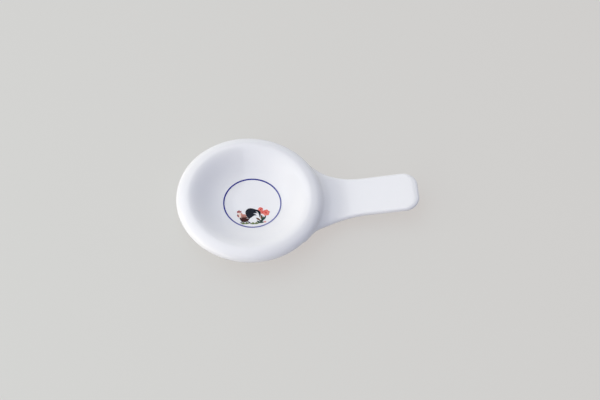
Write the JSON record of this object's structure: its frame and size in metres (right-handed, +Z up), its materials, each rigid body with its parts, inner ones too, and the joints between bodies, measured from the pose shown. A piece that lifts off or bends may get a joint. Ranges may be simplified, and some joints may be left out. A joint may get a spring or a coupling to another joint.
{
  "type": "chopstick rest",
  "caption": "Glazed porcelain chopstick rest: a round spoon dish with a painted well and a low saddled handle on a ground foot ring.",
  "frame": {"origin": "centre of the ring-shaped foot face that the dish stands on, below the dish's centre", "axes": "+X along the handle towards its tip, +Z up out of the spoon well, +Y across the handle to the left when looking along +X"},
  "size_m": [0.1085, 0.065, 0.014],
  "materials": {
    "porcelain_bisque": "fired, unglazed, ground flat at the foot",
    "white_glaze": "glossy",
    "enamel_blue": "glossy, fired on",
    "enamel_black": "glossy, fired on",
    "enamel_dark_brown": "glossy, fired on",
    "enamel_rust": "glossy, fired on",
    "enamel_straw": "glossy, fired on",
    "enamel_red": "glossy, fired on",
    "enamel_slate": "glossy, fired on",
    "enamel_pink": "glossy, fired on",
    "enamel_peach": "glossy, fired on",
    "enamel_brown": "glossy, fired on",
    "enamel_dark_green": "glossy, fired on",
    "enamel_grass_green": "glossy, fired on"
  },
  "bodies": {
    "root": {"body": "porcelain_bisque", "glaze": "white_glaze", "ring_line": "enamel_blue", "rooster_tail": "enamel_black", "rooster_breast": "enamel_dark_brown", "rooster_hackle": "enamel_rust", "rooster_neck": "enamel_straw", "rooster_comb": "enamel_red", "rooster_legs": "enamel_slate", "peony_petals": "enamel_pink", "peony_hearts": "enamel_peach", "peony_stems": "enamel_brown", "peony_leaves": "enamel_dark_green", "grass_tufts": "enamel_grass_green"}
  },
  "joints": []
}
